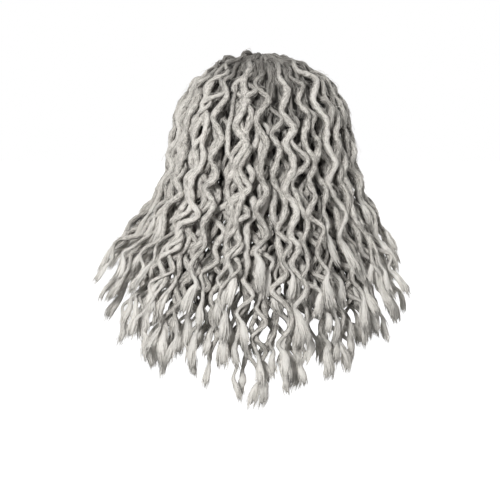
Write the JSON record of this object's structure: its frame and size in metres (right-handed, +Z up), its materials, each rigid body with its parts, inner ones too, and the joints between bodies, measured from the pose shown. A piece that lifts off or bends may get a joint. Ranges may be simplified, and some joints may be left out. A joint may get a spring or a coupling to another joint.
{
  "type": "dreadlock wig",
  "caption": "Costume wig of long wavy felted locs in silver grey on a thin open cap, flaring at the shoulders, each loc ending in a loose brushed tassel.",
  "frame": {"origin": "inside of the cap at the crown, where it rests on the head", "axes": "+Z up, face looking along -Y, +X towards the wearer's left"},
  "size_m": [0.4179, 0.2769, 0.4916],
  "materials": {
    "cap_cloth": "matte grey knit with a brushed fibre face",
    "loc_fibre": "felted matte synthetic fibre in silver grey, lighter at the tassels"
  },
  "bodies": {
    "root": {"wig_cap": "cap_cloth", "nape_loc_01": "loc_fibre", "nape_loc_02": "loc_fibre", "nape_loc_03": "loc_fibre", "nape_loc_04": "loc_fibre", "nape_loc_05": "loc_fibre", "nape_loc_06": "loc_fibre", "lower_loc_01": "loc_fibre", "lower_loc_02": "loc_fibre", "lower_loc_03": "loc_fibre", "lower_loc_04": "loc_fibre", "lower_loc_05": "loc_fibre", "lower_loc_06": "loc_fibre", "lower_loc_07": "loc_fibre", "lower_loc_08": "loc_fibre", "lower_loc_09": "loc_fibre", "middle_loc_01": "loc_fibre", "middle_loc_02": "loc_fibre", "middle_loc_03": "loc_fibre", "middle_loc_04": "loc_fibre", "middle_loc_05": "loc_fibre", "middle_loc_06": "loc_fibre", "middle_loc_07": "loc_fibre", "middle_loc_08": "loc_fibre", "middle_loc_09": "loc_fibre", "middle_loc_10": "loc_fibre", "upper_loc_01": "loc_fibre", "upper_loc_02": "loc_fibre", "upper_loc_03": "loc_fibre", "upper_loc_04": "loc_fibre", "upper_loc_05": "loc_fibre", "upper_loc_06": "loc_fibre", "upper_loc_07": "loc_fibre", "upper_loc_08": "loc_fibre", "upper_loc_09": "loc_fibre", "upper_loc_10": "loc_fibre", "crown_loc_01": "loc_fibre", "crown_loc_02": "loc_fibre", "crown_loc_03": "loc_fibre", "crown_loc_04": "loc_fibre", "crown_loc_05": "loc_fibre", "crown_loc_06": "loc_fibre", "crown_loc_07": "loc_fibre", "crown_loc_08": "loc_fibre", "crown_loc_09": "loc_fibre", "crown_loc_10": "loc_fibre", "crown_loc_11": "loc_fibre", "crown_loc_12": "loc_fibre", "crown_loc_13": "loc_fibre", "crown_loc_14": "loc_fibre", "crown_loc_15": "loc_fibre", "crown_loc_16": "loc_fibre", "crown_loc_17": "loc_fibre", "crown_loc_18": "loc_fibre", "crown_loc_19": "loc_fibre"}
  },
  "joints": []
}
